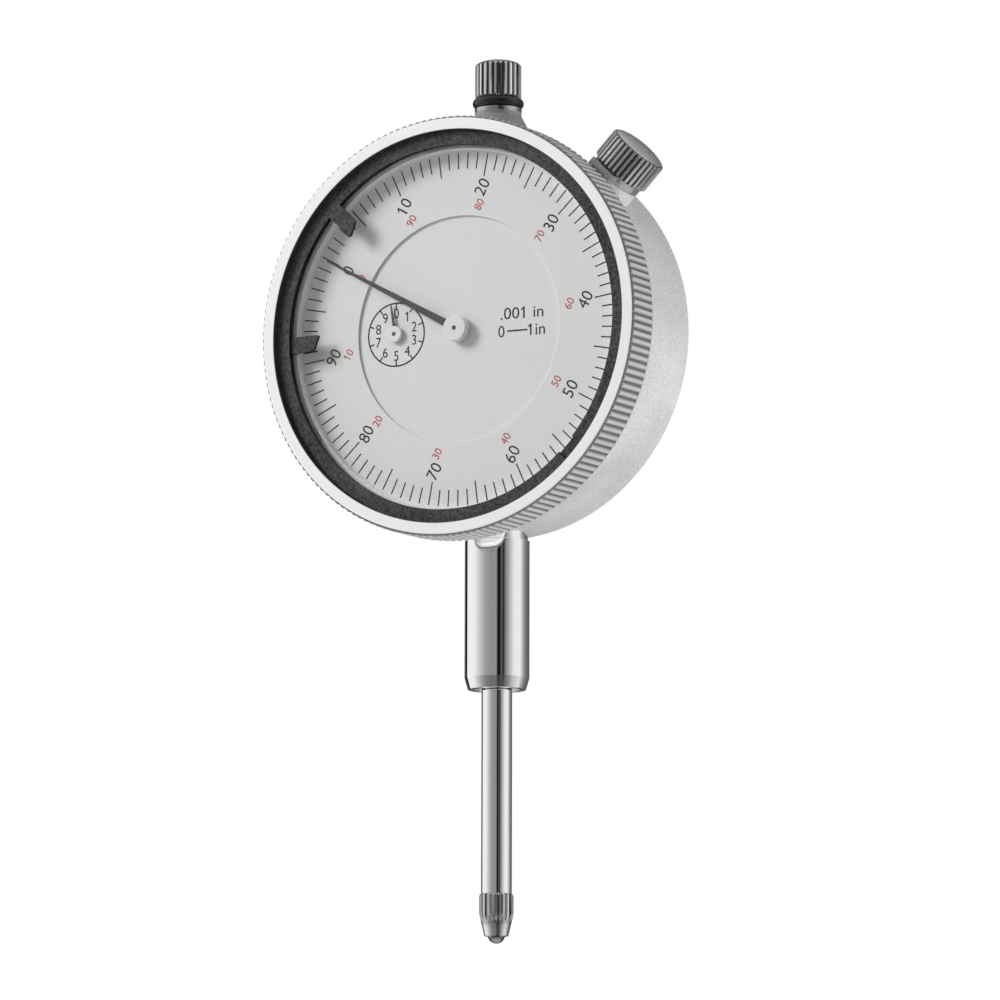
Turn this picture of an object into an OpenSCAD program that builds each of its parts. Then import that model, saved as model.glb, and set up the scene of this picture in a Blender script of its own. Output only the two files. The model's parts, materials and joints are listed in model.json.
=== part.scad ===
// Dial indicator, 0-1 inch travel, with a turning bezel, a lug back and a 3/8 inch stem.
// Origin: on the stem's axis, at mid height of the part of the stem that a holder grips.
// The dial faces -Y and the spindle moves along +Z.

/* [Body] */
// Radius of the case
case_r = 29; // [28:0.25:30]
// Depth from the dial face to the back of the case
case_depth = 17.8; // [17.5:0.1:20]
// Depth of the stem's axis behind the dial face
stem_depth = 12.1; // [12:0.1:12.5]
// Height of the dial's centre above the origin
dial_height = 40; // [38:0.5:44]
// Radius of the internal bore of the case
case_bore_r = 26.4; // [26.2:0.1:26.6]

/* [Bezel] */
// Radius of the bezel over its knurl
bezel_r = 31; // [30.5:0.25:33]
// Radius of the opening in the bezel's face
window_r = 28.93; // [28.5:0.01:29.2]
// Distance of the bezel's face in front of the dial face
bezel_front = 3.97; // [3.5:0.01:5]
// Distance that the knurl reaches behind the dial face
knurl_back = 2.3; // [2:0.1:2.6]
// Number of grooves round the bezel
knurl_count = 174; // [120:2:200]
// Inner radius of the wall round the dial
wall_r = 26.4; // [26:0.1:26.6]

/* [Stem and spindle] */
// Radius of the stem, 3/8 inch in diameter
stem_r = 4.7625; // [4:0.0625:5]
// Radius of the spindle
spindle_r = 2.25; // [2:0.05:2.4]
// Running clearance round the spindle
spindle_gap = 0.03; // [0.02:0.01:0.06]
// Travel of the spindle, 1 inch
travel = 25.4; // [12.7:0.1:25.4]
// Distance from the dial's centre down to the stem's lower end
stem_drop = 51.85; // [48:0.05:54]
// Distance from the dial's centre down to the top of the contact point
point_drop = 81.72; // [78:0.02:84]
// Distance from the dial's centre up to the top of the neck
neck_rise = 34.75; // [34.5:0.05:35.5]

/* [Movement] */
// Teeth of the two counter gears
counter_teeth = 48; // [36:2:60]
// Angle of the main hand from the top, anticlockwise
hand_angle = 61.6; // [0:0.1:360]
// Angle of the counter hand from the top, anticlockwise
counter_angle = 9.5; // [0:0.1:360]

/* [Limit markers] */
// Angle of the front marker's finger from the top, anticlockwise
front_finger = 45.9; // [0:0.1:360]
// Angle of the rear marker's finger from the top, anticlockwise
rear_finger = 91.8; // [0:0.1:360]
// Thickness of each marker
marker_t = 0.48; // [0.4:0.01:0.5]

/* [Hidden] */
$fn = 64;

// Depths behind the dial face: the movement's plates and gears, from the front to the back
disc_y = [0.35, 0.75];
front_plate_y = [1.2, 2.0];
counter_y = [2.9, 3.5];
middle_plate_y = [4.4, 5.1];
wheel_y = [5.6, 6.2];
hairspring_y = [6.5, 6.8];
bridge_plate_y = [7.2, 8.0];
rack_y = [stem_depth - 1, stem_depth + 1];
bracket_y = [stem_depth + 2.3, stem_depth + 3];
back_plate_y = [15.8, case_depth];

// Bezel
spigot_r = case_r - 0.5;
spigot_gap = 0.05;
flange_r = bezel_r - 0.8;
flange_y = 2.9;
shoulder_y = 3;
crystal_y = [-1.93, -1.45];
marker_front_y = -2.93;
marker_in_r = 26.87;
marker_gap = 3.2;
finger_points = [[30, -1.35], [22.3, -1.14], [22.12, -0.96], [23, 0.98], [23.25, 1.14], [30, 1.35]];
scale_in_r = 16.8;
scale_t = 0.3;
disc_r = 18;

// Hands and their hubs, as depths; the counter's hub stays behind the main hand
hand_y = [-0.75, -0.55];
hand_length = 24.8;
hub_r = 1.95;
hub_front = -1.3;
counter_hand_y = [-0.1, 0.05];
counter_hand_length = 4.4;
counter_hub_r = 1.2;
counter_hub_front = -0.45;
hand_core_r = 1.1;
counter_core_r = 0.7;

// Neck and top end of the spindle
neck_r = 3.48;
neck_foot_r = 5.4;
bush_r = 3;
bush_flange_t = 0.6;
ring_r = 0.77;
knob_z = neck_rise + 1.6;
knob_r = 3.45;
knob_h = 4.75;
knob_dome = 1.05;
knob_bore_r = 1.5;
knob_bore_h = 3.5;

// Contact point: fluted, then a cone with a ball in its end
point_r = 2.53;
point_flute_h = 2.9;
point_core_r = 2.25;
point_end_r = 1.76;
point_h = 6.2;
thread_r = 1.2;
ball_r = 1.3;

// Stem
stem_bore_r = 3.4;
stem_wall_top = -29.9;
stem_spigot_r = 4.5;
stem_top = -27;

// Back
gasket_y = 15.4;
back_r = 26.95;
screw_ring_r = 24;
back_boss_r = 2.2;
lug_hole_r = 3.175;
lug_reach = 12.5;
lug_w = 6.35;
lug_round = 6.2;

// Bezel clamp: a thumb screw on the upper right, square to the rim
clamp_angle = 45;
clamp_depth = 7.8;
clamp_boss_r = 4;
clamp_boss_top = 30.75;
clamp_plate_rho = [30.8, 31.9];
clamp_nose_rho = flange_r + 0.02;
clamp_knob_rho = [31.95, 36.1];
clamp_knob_r = 4.54;
clamp_screw_r = 1.5;

// Places of the arbors in the plane of the dial, from its centre. The rack pinion turns once over
// the travel, and the drive gear turns the centre pinion ten times as fast
rack_teeth = 40;
wheel_teeth = 100;
leaf_teeth = 10;
rack_r = travel / (2 * PI);
rack_module = 2 * rack_r / rack_teeth;
rack_line = -1.9075;
rack_arbor_x = rack_line - rack_r;
rack_arbor_z = 6.78;
rack_at = [rack_arbor_x, rack_arbor_z];
take_up_at = -rack_at;
counter_at = [-10.55, 0];
center_distance = norm(rack_at);
wheel_module = 2 * center_distance / (wheel_teeth + leaf_teeth);
counter_module = norm(counter_at - rack_at) / counter_teeth;
center_to_rack = atan2(rack_at[1], rack_at[0]);
rack_to_counter = atan2(counter_at[1] - rack_at[1], counter_at[0] - rack_at[0]);

pillar_at = [[12.5, 8.5], [-12.5, -8.5], [-14.6, 13.2], [14.6, -13.2]];
pillar_r = 1.4;
pillar_pin_r = 0.9;
screw_r = 0.5;
movement_screw_angles = [10, 130, 250];
back_screw_angles = [45, 135, 225, 315];
plate_r = 21.5;
arbor_r = 0.75;
thin_arbor_r = 0.5;
pivot_r = 0.4;
pivot_gap = 0.02;

// Guide and return spring beside the spindle
guide_z = -8;
guide_pin_r = 0.75;
rail_x = [6.6, 8.6];
spring_x = 4.6;
spring_coil_r = 1.1;
spring_wire_r = 0.16;
spring_turns = 16;
spring_z = [-20, guide_z];

// Everything below is placed from the dial's centre: x to the right, y into the case, z up
module in_dial() translate([0, -stem_depth, dial_height]) children();

// A flat outline, seen from the front, between two depths
module plate(y) translate([0, y[1], 0]) rotate([90, 0, 0]) linear_extrude(y[1] - y[0]) children();

// A round plate or a round pin square to the dial, at a place in the dial's plane
module disc(y, r, at = [0, 0]) plate(y) translate(at) circle(r);

// A turned shape about the dial's axis, from points of radius and depth
module turned(points, fn = 128) rotate([-90, 0, 0]) rotate_extrude($fn = fn) polygon(points);

// A round rod along the spindle's axis
module rod(z, r) translate([0, stem_depth, z[0]]) cylinder(h = z[1] - z[0], r = r);

// A turned shape about the spindle's axis, from points of radius and height
module spindle_turned(points) translate([0, stem_depth, 0]) rotate_extrude() polygon(points);

// Stands a shape on the rim at the clamp: its z runs outward from the dial's centre
module at_clamp() translate([0, clamp_depth, 0]) rotate([0, 90 - clamp_angle, 0]) children();

// Places on a circle in the dial's plane
function on_ring(r, a) = [r * cos(a), r * sin(a)];

// Outline with straight grooves round a circle
function grooved(n, r, depth, land = 0.25) = [
    for (i = [0:n - 1], k = [0:2])
        let (a = 360 / n * (i + [-land, land, 0.5][k]), q = k == 2 ? r - depth : r)
            on_ring(q, a)
];

// Half the angle that a gear tooth fills at radius q, for pitch radius r and n teeth
function involute(a) = tan(a) * 180 / PI - a;
function flank(n, r, q, slack) =
    90 / n * (1 - slack) + involute(20) - involute(acos(min(1, r * cos(20) / q)));

// Outline of a gear with n teeth of module m, with a tooth centred at angle a0
function gear_points(n, m, a0 = 0, slack = 0.16) =
    let (r = n * m / 2, rings = [r - 1.2 * m, r - 0.3 * m, r + 0.35 * m, r + 0.95 * m])
    [
        for (i = [0:n - 1], k = [0:7])
            let (
                q = rings[k < 4 ? k : 7 - k],
                half = max(8 / n, flank(n, r, max(q, r * cos(20)), slack)),
                a = a0 + 360 / n * i + (k < 4 ? -half : half)
            )
                on_ring(q, a)
    ];

// A gear between two depths, bored for its arbor
module gear(y, n, m, at, bore_r, a0 = 0) difference() {
    plate(y) translate(at) polygon(gear_points(n, m, a0));
    disc([y[0] - 1, y[1] + 1], bore_r, at);
}

// An arbor with a thin pivot at each end
module arbor(y, r, at, pivots) union() {
    disc(y, r, at);
    disc(pivots, pivot_r, at);
}

// A knurled round head along z with a domed end
module knurled_head(r, h, dome, n, depth) intersection() {
    linear_extrude(h + dome + 1) polygon(grooved(n, r, depth));
    rotate_extrude() polygon(concat(
        [[0, 0], [r - 0.25, 0], [r + 0.01, 0.25], [r + 0.01, h]],
        [for (i = [1:8]) [(r + 0.01) * cos(i * 11.25), h + dome * sin(i * 11.25)]]
    ));
}

// ---------- Case, stem and back ----------

module case() color("silver") in_dial() difference() {
    union() {
        turned([
            [case_bore_r, 0.9], [spigot_r, 0.9], [spigot_r, shoulder_y], [case_r - 0.15, shoulder_y],
            [case_r, shoulder_y + 0.15], [case_r, case_depth - 0.6], [case_r - 0.6, case_depth],
            [back_r + 0.05, case_depth], [back_r + 0.05, gasket_y], [case_bore_r - 0.8, gasket_y],
            [case_bore_r - 0.8, front_plate_y[1]], [case_bore_r, front_plate_y[1]]
        ]);
        neck();
        at_clamp() translate([0, 0, case_bore_r]) cylinder(h = clamp_boss_top - case_bore_r, r = clamp_boss_r);
        for (a = back_screw_angles) disc([gasket_y - 6, gasket_y], back_boss_r, on_ring(screw_ring_r, a));
        for (a = movement_screw_angles)
            disc([front_plate_y[1], front_plate_y[1] + 4], 2, on_ring(screw_ring_r, a));
    }
    rod([stem_wall_top, 0], stem_spigot_r);
    rod([20, neck_rise], bush_r);
    at_clamp() translate([0, 0, 20]) cylinder(h = 12, r = clamp_screw_r + 0.06);
    for (a = back_screw_angles) disc([gasket_y - 5, gasket_y + 1], 1, on_ring(screw_ring_r, a));
    for (a = movement_screw_angles) disc([1, front_plate_y[1] + 3.8], 0.8, on_ring(screw_ring_r, a));
}

// Neck that carries the upper bush and flares into the case
module neck() spindle_turned([
    [0, back_r + 0.1], [neck_foot_r, back_r + 0.1], [neck_foot_r, neck_rise - 4.7],
    [neck_r, neck_rise - 1.15], [neck_r, neck_rise - bush_flange_t], [0, neck_rise - bush_flange_t]
]);

// The stem's gripped wall ends in a thinner spigot that goes up into the case
module stem() color("gainsboro") in_dial() difference() {
    spindle_turned([
        [0, -stem_drop], [stem_r - 0.5, -stem_drop], [stem_r, -stem_drop + 1.75],
        [stem_r, stem_wall_top], [stem_spigot_r, stem_wall_top], [stem_spigot_r, stem_top], [0, stem_top]
    ]);
    rod([-stem_drop - 1, -stem_drop + 8], stem_bore_r);
    rod([-stem_drop + 7, stem_top + 1], stem_bore_r - 0.6);
}

module bush(z, r) difference() {
    rod(z, r);
    rod([z[0] - 1, z[1] + 1], spindle_r + spindle_gap);
}

module stem_bush() color("goldenrod") in_dial() bush([-stem_drop + 0.3, -stem_drop + 8], stem_bore_r);

module top_bush() color("goldenrod") in_dial() difference() {
    union() {
        rod([case_bore_r + 1.2, neck_rise], bush_r);
        rod([neck_rise - bush_flange_t, neck_rise], neck_r);
    }
    rod([20, neck_rise + 1], spindle_r + spindle_gap);
}

module back_plate() color("silver") in_dial() difference() {
    union() {
        disc(back_plate_y, back_r);
        translate([-lug_w / 2, 0, 0]) lug();
        disc([case_depth - 0.1, case_depth + 0.8], 8.5);
    }
    translate([-20, case_depth + lug_reach - lug_round, 0]) rotate([0, 90, 0]) cylinder(h = 40, r = lug_hole_r);
    for (a = back_screw_angles) {
        disc([15, case_depth + 1], 1.05, on_ring(screw_ring_r, a));
        disc([case_depth - 1.2, case_depth + 1], 2.05, on_ring(screw_ring_r, a));
    }
}

// Lug: a thick tongue with a round end, square to the back
module lug() rotate([90, 0, 90]) linear_extrude(lug_w) union() {
    translate([case_depth - 0.5, -lug_round]) square([lug_reach - lug_round + 0.5, 2 * lug_round]);
    translate([case_depth + lug_reach - lug_round, 0]) circle(lug_round);
}

module back_gasket() color("dimgray") in_dial() difference() {
    disc([gasket_y, back_plate_y[0]], back_r);
    disc([gasket_y - 1, back_plate_y[0] + 1], case_bore_r - 0.8);
    for (a = back_screw_angles) disc([gasket_y - 1, back_plate_y[0] + 1], back_boss_r, on_ring(screw_ring_r, a));
}

// Slotted screw whose head is at the back
module screw(y, head_t, head_r, shank_r, at) difference() {
    union() {
        disc([y[0], y[1] - head_t / 2], shank_r, at);
        disc([y[1] - head_t, y[1]], head_r, at);
    }
    plate([y[1] - head_t / 2, y[1] + 1]) translate(at) square([3 * head_r, head_r / 3], center = true);
}

module back_screws() color("gray") in_dial()
    for (a = back_screw_angles)
        screw([gasket_y - 4.5, case_depth - 0.2], 1, 2, 1, on_ring(screw_ring_r, a));

// ---------- Movement plates ----------

// Holes through a plate, a little larger than what turns in them
module holes(r, places) for (p = places) disc([-5, 20], r, p);

module front_plate() color("goldenrod") in_dial() difference() {
    disc(front_plate_y, case_bore_r - 0.05);
    holes(pivot_r + pivot_gap, [rack_at]);
    holes(thin_arbor_r + pivot_gap, [[0, 0], counter_at]);
    holes(pillar_pin_r, pillar_at);
    for (a = movement_screw_angles) {
        disc([0, 3], 0.85, on_ring(screw_ring_r, a));
        disc([0, front_plate_y[0] + 0.5], 1.4, on_ring(screw_ring_r, a));
    }
}

module movement_screws() color("gray") in_dial() for (a = movement_screw_angles)
    translate([0, 2 * front_plate_y[0] + 3.2, 0]) mirror([0, 1, 0])
        screw([0, front_plate_y[0] + 3.2], 0.5, 1.35, 0.8, on_ring(screw_ring_r, a));

module middle_plate() color("goldenrod") in_dial() difference() {
    disc(middle_plate_y, plate_r);
    holes(arbor_r + 0.2, [rack_at]);
    holes(thin_arbor_r + pivot_gap, [[0, 0]]);
    holes(pivot_r + pivot_gap, [counter_at, take_up_at]);
    holes(pillar_pin_r, pillar_at);
}

module bridge_plate() color("goldenrod") in_dial() difference() {
    disc(bridge_plate_y, plate_r);
    holes(arbor_r + 0.2, [rack_at]);
    holes(pivot_r + pivot_gap, [[0, 0], take_up_at]);
    holes(screw_r, concat(pillar_at, bracket_screw_at, rail_screw_at));
    holes(0.6, [hairspring_stud_at]);
    holes(0.7, [[spring_x, spring_z[0]]]);
}

// Pillars stand on the front plate and pass through the middle plate
module plate_pillars() color("gainsboro") in_dial() for (p = pillar_at) difference() {
    union() {
        disc([front_plate_y[0] + 0.1, bridge_plate_y[0]], pillar_pin_r, p);
        disc([front_plate_y[1], middle_plate_y[0]], pillar_r, p);
    }
    disc([bridge_plate_y[0] - 1.8, bridge_plate_y[1]], screw_r, p);
}

module plate_spacers() color("goldenrod") in_dial() for (p = pillar_at) difference() {
    disc([middle_plate_y[1], bridge_plate_y[0]], pillar_r, p);
    disc([0, 10], pillar_pin_r, p);
}

module plate_screws() color("gray") in_dial() for (p = pillar_at)
    screw([bridge_plate_y[0] - 1.6, bridge_plate_y[1] + 0.6], 0.6, 1.3, screw_r, p);

// Bracket that holds the rear pivot of the rack arbor, screwed to the bridge plate
bracket_screw_at = [[-17, 4.8], [-17, 8.8]];
module rack_bracket() color("goldenrod") in_dial() difference() {
    union() {
        plate(bracket_y) hull() {
            translate(rack_at) circle(r = 2.2, $fn = 32);
            translate([-14.2, rack_arbor_z - 3.2]) square([0.8, 6.4]);
        }
        plate([bridge_plate_y[1], bracket_y[1]]) translate([-14.2, rack_arbor_z - 3.2]) square([0.8, 6.4]);
        plate([bridge_plate_y[1], bridge_plate_y[1] + 0.8])
            translate([-18.6, rack_arbor_z - 3.2]) square([5.2, 6.4]);
    }
    disc([bracket_y[0] - 1, bracket_y[1] + 1], pivot_r + pivot_gap, rack_at);
    for (p = bracket_screw_at) disc([5, 10], screw_r, p);
}

module bracket_screws() color("gray") in_dial() for (p = bracket_screw_at)
    screw([bridge_plate_y[0] + 0.1, bridge_plate_y[1] + 1.4], 0.6, 1, screw_r, p);

// Fixed disc under the hands
module inner_dial() color("whitesmoke") in_dial() difference() {
    disc(disc_y, disc_r);
    holes(thin_arbor_r + 0.1, [[0, 0], counter_at]);
}

// ---------- Spindle and what moves with it ----------

// Rack teeth are cut in the spindle's left side, as a row of gaps in a flat
module rack_gaps() {
    pitch = PI * rack_module;
    flat_x = rack_line - 0.95 * rack_module;
    foot_x = rack_line + 1.2 * rack_module;
    gaps = ceil(travel / pitch) + 8;
    top = rack_arbor_z + 4.5 * pitch;
    plate([stem_depth - 5, stem_depth + 5]) union() {
        translate([-4, top - gaps * pitch]) square([4 + flat_x, gaps * pitch]);
        for (i = [0:gaps - 1]) translate([0, top - (i + 0.5) * pitch]) polygon([
            [-4, -0.36 * pitch], [flat_x, -0.36 * pitch], [foot_x, -0.13 * pitch],
            [foot_x, 0.13 * pitch], [flat_x, 0.36 * pitch], [-4, 0.36 * pitch]
        ]);
    }
}

module spindle() color("gainsboro") in_dial() difference() {
    union() {
        rod([-point_drop, knob_z], spindle_r);
        rod([knob_z - 1, knob_z + knob_bore_h], knob_bore_r);
    }
    rack_gaps();
    rod([-point_drop - 1, -point_drop + 6], thread_r);
    translate([1, stem_depth, guide_z]) rotate([0, 90, 0]) cylinder(h = 3, r = guide_pin_r);
}

module guide_pin() color("gray") in_dial()
    translate([1, stem_depth, guide_z]) rotate([0, 90, 0]) cylinder(h = rail_x[1] - 1, r = guide_pin_r);

// Slotted rail beside the spindle; the pin runs in its slot
rail_screw_at = [[rail_x[1] + 1.4, -9], [rail_x[1] + 1.4, 15]];
module guide_rail() color("goldenrod") in_dial() difference() {
    z0 = guide_z - 3;
    z1 = guide_z + travel + 3;
    slot = guide_pin_r + 0.03;
    union() {
        translate([rail_x[0], bridge_plate_y[1], z0]) cube([rail_x[1] - rail_x[0], 6.6, z1 - z0]);
        for (p = rail_screw_at) plate([bridge_plate_y[1], bridge_plate_y[1] + 0.8])
            translate([rail_x[0], p[1] - 1.4]) square([5, 2.8]);
    }
    translate([rail_x[0] - 1, stem_depth - slot, guide_z - 1.2]) cube([4, 2 * slot, travel + 2.4]);
    for (p = rail_screw_at) disc([5, 10], screw_r, p);
}

module rail_screws() color("gray") in_dial() for (p = rail_screw_at)
    screw([bridge_plate_y[0] + 0.1, bridge_plate_y[1] + 1.4], 0.6, 1, screw_r, p);

module spring_post() color("gray") in_dial() disc([bridge_plate_y[0], stem_depth + 1.8], 0.7, [spring_x, spring_z[0]]);

// Extension spring from the post up to the guide pin: one wire swept along a helix
module return_spring() color("gray") in_dial() {
    steps = 12;
    sides = 6;
    low = spring_z[0] + 1.05;
    rise = spring_z[1] - spring_z[0] - 2.1;
    count = spring_turns * steps;
    points = [
        for (i = [0:count], k = [0:sides - 1])
            let (
                a = 360 * i / steps,
                q = spring_coil_r + spring_wire_r * cos(k * 360 / sides),
                z = low + rise * i / count + spring_wire_r * sin(k * 360 / sides)
            )
                [spring_x + q * cos(a), stem_depth + q * sin(a), z]
    ];
    walls = [
        for (i = [0:count - 1], k = [0:sides - 1])
            let (j = (k + 1) % sides, b = i * sides, c = b + sides)
                [b + k, c + k, c + j, b + j]
    ];
    ends = [[for (k = [0:sides - 1]) k], [for (k = [sides - 1:-1:0]) count * sides + k]];
    polyhedron(points, concat(walls, ends));
}

module contact_point() color("gainsboro") in_dial() translate([0, stem_depth, -point_drop]) difference() {
    union() {
        intersection() {
            mirror([0, 0, 1]) linear_extrude(point_h + 1) polygon(grooved(20, point_r + 0.07, 0.35, 0.2));
            rotate_extrude() polygon([
                [0, 0], [point_core_r - 0.05, 0], [point_r, -0.35], [point_r, -point_flute_h],
                [point_end_r, -point_h], [0, -point_h]
            ]);
        }
        rotate_extrude() polygon([
            [0, -0.02], [point_core_r - 0.05, -0.02], [point_core_r, -point_flute_h],
            [point_core_r - 0.03, -point_flute_h - 1.35], [point_end_r, -point_h], [0, -point_h]
        ]);
        cylinder(h = 5, r = thread_r);
    }
    translate([0, 0, -point_h - 0.8]) cylinder(h = 2.4, r = ball_r + 0.01);
}

module contact_ball() color("silver") in_dial()
    translate([0, stem_depth, -point_drop - point_h + 0.21]) sphere(ball_r);

module lifting_knob() color("silver") in_dial() difference() {
    translate([0, stem_depth, knob_z]) knurled_head(knob_r, knob_h, knob_dome, 26, 0.28);
    rod([knob_z - 1, knob_z + knob_bore_h + 0.1], knob_bore_r);
}

module bumper_ring() color("black") in_dial()
    translate([0, stem_depth, neck_rise + 0.8]) rotate_extrude()
        translate([spindle_r + ring_r + 0.01, 0]) circle(ring_r, $fn = 32);

// ---------- Gear train ----------

module rack_arbor() color("gray") in_dial() arbor(
    [front_plate_y[1] + 0.05, bracket_y[0] - 0.05], arbor_r, rack_at,
    [front_plate_y[0] + 0.1, bracket_y[1]]
);
module rack_pinion() color("goldenrod") in_dial() gear(rack_y, rack_teeth, rack_module, rack_at, arbor_r);
module drive_gear() color("goldenrod") in_dial() gear(
    wheel_y, wheel_teeth, wheel_module, rack_at, arbor_r, center_to_rack + 180 + 180 / wheel_teeth
);
module counter_drive_gear() color("goldenrod") in_dial() gear(
    counter_y, counter_teeth, counter_module, rack_at, arbor_r, rack_to_counter
);

// Arbor with its leaves cut in one piece
module center_pinion() color("gray") in_dial() union() {
    disc([hub_front + 0.1, bridge_plate_y[0] - 0.05], thin_arbor_r);
    disc([bridge_plate_y[0] - 1, bridge_plate_y[1]], pivot_r);
    plate([wheel_y[0] - 0.2, wheel_y[1] + 0.2]) polygon(gear_points(leaf_teeth, wheel_module, center_to_rack));
}
module main_hub() color("silver") in_dial() difference() {
    turned([
        [0, -0.1], [hub_r - 0.15, -0.1], [hub_r - 0.05, -0.2], [hub_r - 0.05, hand_y[1]],
        [hand_core_r, hand_y[1]], [hand_core_r, hand_y[0]], [hub_r, hand_y[0]],
        [hub_r, hub_front + 0.35], [hub_r - 0.1, hub_front + 0.25], [hub_r - 0.1, hub_front + 0.05],
        [hub_r - 0.17, hub_front], [0, hub_front]
    ], 64);
    disc([hub_front + 0.1, 1], thin_arbor_r);
    disc([hub_front - 1, 0], 0.27);
}
module main_hand() color("dimgray") in_dial() difference() {
    plate(hand_y) union() {
        rotate(hand_angle + 90) pointer(hand_length, 0.58, 0.14, 0.1);
        circle(1.6);
    }
    disc([-1, 0], hand_core_r);
}

// A tapered pointer to the right: half widths at its root and tip, and the length of its sharp end
module pointer(length, root, tip, sharp) polygon([
    [0, -root], [length - sharp, -tip], [length, 0], [length - sharp, tip], [0, root]
]);

module counter_arbor() color("gray") in_dial() arbor(
    [counter_hub_front + 0.05, middle_plate_y[0] - 0.05], thin_arbor_r, counter_at,
    [middle_plate_y[0] - 0.4, middle_plate_y[1]]
);
module counter_gear() color("goldenrod") in_dial() gear(
    counter_y, counter_teeth, counter_module, counter_at, thin_arbor_r,
    rack_to_counter + 180 + 180 / counter_teeth
);
module counter_hub() color("silver") in_dial() translate([counter_at[0], 0, counter_at[1]]) difference() {
    turned([
        [0, counter_hand_y[1] + 0.15], [counter_core_r, counter_hand_y[1] + 0.15],
        [counter_core_r, counter_hand_y[0]], [counter_hub_r, counter_hand_y[0]],
        [counter_hub_r, counter_hub_front + 0.1], [counter_hub_r - 0.1, counter_hub_front],
        [0, counter_hub_front]
    ], 48);
    disc([counter_hub_front + 0.05, 1], thin_arbor_r);
    disc([-1, 0], 0.25);
}
module counter_hand() color("dimgray") in_dial() difference() {
    plate(counter_hand_y) translate(counter_at) union() {
        rotate(counter_angle + 90) pointer(counter_hand_length, 0.26, 0.09, 0.05);
        circle(1);
    }
    disc([-1, 1], counter_core_r, counter_at);
}

module take_up_arbor() color("gray") in_dial() union() {
    arbor(
        [middle_plate_y[1] + 0.05, bridge_plate_y[0] - 0.05], thin_arbor_r, take_up_at,
        [middle_plate_y[0], bridge_plate_y[1]]
    );
    disc(hairspring_y + [-0.1, 0.1], 0.95, take_up_at);
}
module take_up_gear() color("goldenrod") in_dial() gear(
    wheel_y, wheel_teeth, wheel_module, take_up_at, thin_arbor_r, center_to_rack + 180 / wheel_teeth
);

// Flat spiral spring, from beside the collet out to its stud
hairspring_turns = 4.5;
hairspring_r = [1.1, 6];
hairspring_end = 360 * hairspring_turns;
hairspring_stud_at = take_up_at + on_ring(hairspring_r[1] + 0.66, hairspring_end);
hairspring_steps = 24 * hairspring_turns;
function coil(i, side) = on_ring(
    hairspring_r[0] + (hairspring_r[1] - hairspring_r[0]) * i / hairspring_steps + side * 0.06,
    hairspring_end * i / hairspring_steps
);
module hairspring() color("steelblue") in_dial() plate(hairspring_y) translate(take_up_at) polygon(concat(
    [for (i = [0:hairspring_steps]) coil(i, -1)],
    [for (i = [hairspring_steps:-1:0]) coil(i, 1)]
));
module hairspring_stud() color("gray") in_dial() disc([6.3, bridge_plate_y[1]], 0.6, hairspring_stud_at);

// ---------- Bezel and what turns with it ----------

module bezel() color("whitesmoke") in_dial() difference() {
    union() {
        intersection() {
            plate([-bezel_front - 1, knurl_back + 1]) polygon(grooved(knurl_count, bezel_r, 0.32, 0.22));
            turned([
                [0, -bezel_front], [bezel_r - 0.35, -bezel_front], [bezel_r + 0.01, -bezel_front + 0.35],
                [bezel_r + 0.01, knurl_back - 0.3], [bezel_r - 0.3, knurl_back], [0, knurl_back]
            ], 256);
        }
        turned([[0, 0], [flange_r, 0], [flange_r, flange_y], [0, flange_y]], 256);
    }
    disc([-bezel_front - 1, crystal_y[1]], window_r);
    disc([-5, 5], wall_r);
    disc([0, 5], spigot_r + spigot_gap);
}

module crystal() color("lightcyan", 0.4) in_dial() disc(crystal_y, window_r - 0.02);

module scale_ring() color("whitesmoke") in_dial() difference() {
    disc([0, scale_t], spigot_r + spigot_gap);
    disc([-1, scale_t + 1], scale_in_r);
}

// Open ring with one finger, drawn with the finger to the right: side 1 puts the finger's
// slanted corner on its upper side, side -1 on its lower side
module marker(y, finger, side) plate(y) rotate(finger + 90) difference() {
    circle(window_r - 0.03, $fn = 128);
    difference() {
        circle(marker_in_r, $fn = 128);
        polygon([for (p = finger_points) [p[0], side * p[1]]]);
    }
    rotate(180) polygon([[0, 0], [40, -40 * tan(marker_gap)], [40, 40 * tan(marker_gap)]]);
}

module front_marker() color("black") in_dial()
    marker([marker_front_y, marker_front_y + marker_t], front_finger, -1);
module rear_marker() color("black") in_dial()
    marker([marker_front_y + marker_t + 0.02, crystal_y[0] - 0.01], rear_finger, 1);

// ---------- Bezel clamp ----------

module clamp_plate() color("silver") in_dial() at_clamp() difference() {
    union() {
        translate([0, 0, clamp_plate_rho[0]])
            cylinder(h = clamp_plate_rho[1] - clamp_plate_rho[0], r = clamp_boss_r);
        translate([-2.2, knurl_back + 0.05 - clamp_depth, clamp_plate_rho[0]])
            cube([4.4, 3, clamp_plate_rho[1] - clamp_plate_rho[0]]);
        translate([-2.2, knurl_back + 0.05 - clamp_depth, clamp_nose_rho])
            cube([4.4, 1.3, 1]);
    }
    cylinder(h = 40, r = clamp_screw_r + 0.06);
}

module clamp_knob() color("silver") in_dial() at_clamp() union() {
    translate([0, 0, clamp_knob_rho[0]])
        knurled_head(clamp_knob_r, clamp_knob_rho[1] - clamp_knob_rho[0], 1.1, 34, 0.28);
    translate([0, 0, case_bore_r - 0.4]) cylinder(h = 6.5, r = clamp_screw_r);
}

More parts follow.
